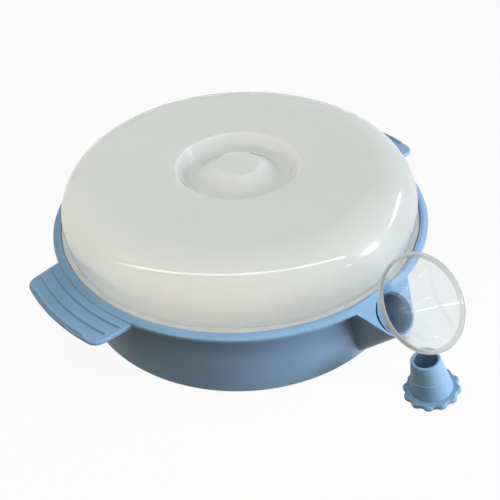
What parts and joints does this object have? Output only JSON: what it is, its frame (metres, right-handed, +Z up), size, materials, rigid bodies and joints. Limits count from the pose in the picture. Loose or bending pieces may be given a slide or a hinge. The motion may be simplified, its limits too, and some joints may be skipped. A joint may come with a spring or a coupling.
{
  "type": "hot water plate",
  "caption": "Hollow-bodied round plate with ribbed handles, a sloping filler spout, a domed lid with a moat and knob, a clear filling funnel and a loose conical stopper.",
  "frame": {"origin": "centre of the flat underside, on the table", "axes": "+Z up, -Y towards the filler spout, the two handles along X"},
  "size_m": [0.2644, 0.2744, 0.0862],
  "materials": {
    "blue_plastic": "moulded pale blue plastic with a soft sheen",
    "milky_plastic": "moulded milky white plastic with a soft sheen",
    "clear_plastic": "clear moulded plastic"
  },
  "bodies": {
    "plate": {"bowl": "blue_plastic", "dish": "blue_plastic"},
    "lid": {"lid": "milky_plastic"},
    "funnel": {"funnel": "clear_plastic"},
    "stopper": {"stopper": "blue_plastic"}
  },
  "joints": [
    {"name": "lid_lift", "type": "slide", "parent": "plate", "child": "lid", "axis": [0, 0, 1], "range_m": [0, 0.12]},
    {"name": "funnel_pull", "type": "slide", "parent": "plate", "child": "funnel", "axis": [0, -0.6626, 0.749], "range_m": [0, 0.06]},
    {"name": "stopper_slide", "type": "slide", "parent": "plate", "child": "stopper", "axis": [0, -1, 0], "range_m": [0, 0.1]}
  ]
}
